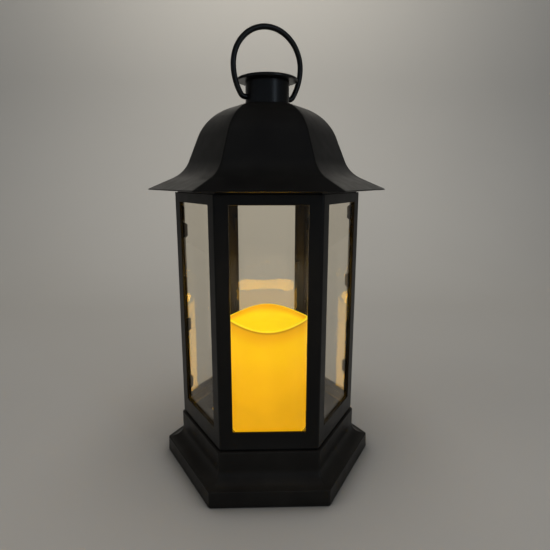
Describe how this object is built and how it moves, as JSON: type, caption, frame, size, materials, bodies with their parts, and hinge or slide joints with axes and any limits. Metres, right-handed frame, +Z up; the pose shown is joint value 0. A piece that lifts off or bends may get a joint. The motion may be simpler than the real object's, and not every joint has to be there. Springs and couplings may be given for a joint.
{
  "type": "led lantern",
  "caption": "Hexagonal black lantern with an ogee roof, glazed sides, a swinging wire bail and a glowing pillar candle run from a battery base with a slide switch.",
  "frame": {"origin": "middle of the footprint on the table, under the candle", "axes": "+Z up, -Y out through the front window, +X to the right of someone facing the front"},
  "size_m": [0.2222, 0.1924, 0.4081],
  "materials": {
    "black_coat": "satin black powder coat on pressed steel",
    "base_black": "satin black painted moulding",
    "inner_black": "black moulded plastic",
    "knob_grey": "dark grey moulded plastic",
    "pane_glass": "clear sheet glass",
    "amber_wax": "amber wax, lit from inside",
    "led_lens": "clear warm LED",
    "board_green": "green circuit board",
    "lead_red": "red and black insulation",
    "foot_rubber": "matt black rubber",
    "screw_steel": "zinc plated steel",
    "contact_steel": "nickel plated steel",
    "cell_jacket": "plain grey cell jacket"
  },
  "bodies": {
    "lantern": {"roof_shell": "black_coat", "neck_tube": "black_coat", "neck_cap": "black_coat", "roof_collar": "black_coat", "panel_front": "black_coat", "panel_front_right": "black_coat", "panel_back_right": "black_coat", "panel_back": "black_coat", "panel_back_left": "black_coat", "panel_front_left": "black_coat", "pane_front": "pane_glass", "pane_front_right": "pane_glass", "pane_back_right": "pane_glass", "pane_back": "pane_glass", "pane_back_left": "pane_glass", "pane_front_left": "pane_glass", "pane_clips": "black_coat", "floor_tray": "black_coat", "base_moulding": "base_black", "deck_screws": "screw_steel", "bottom_plate": "base_black", "plate_screws": "screw_steel", "feet": "foot_rubber", "candle_shell": "amber_wax", "candle_cup": "inner_black", "led_tower": "inner_black", "led_board": "board_green", "led": "led_lens", "candle_leads": "lead_red", "battery_box": "inner_black", "cells": "cell_jacket", "contact_springs": "contact_steel", "contact_plates": "contact_steel", "battery_cover": "base_black", "cover_screw": "screw_steel", "switch_body": "inner_black", "timer_board": "board_green"},
    "bail": {"bail": "black_coat"},
    "switch_knob": {"switch_knob": "knob_grey"}
  },
  "joints": [
    {"name": "bail_swing", "type": "hinge", "parent": "lantern", "child": "bail", "pos_m": [0, 0, 0.3477], "axis": [0.9272, 0.3746, 0], "range_deg": [-110, 104]},
    {"name": "switch_slide", "type": "slide", "parent": "lantern", "child": "switch_knob", "axis": [1, 0, 0], "range_m": [0, 0.006]}
  ]
}
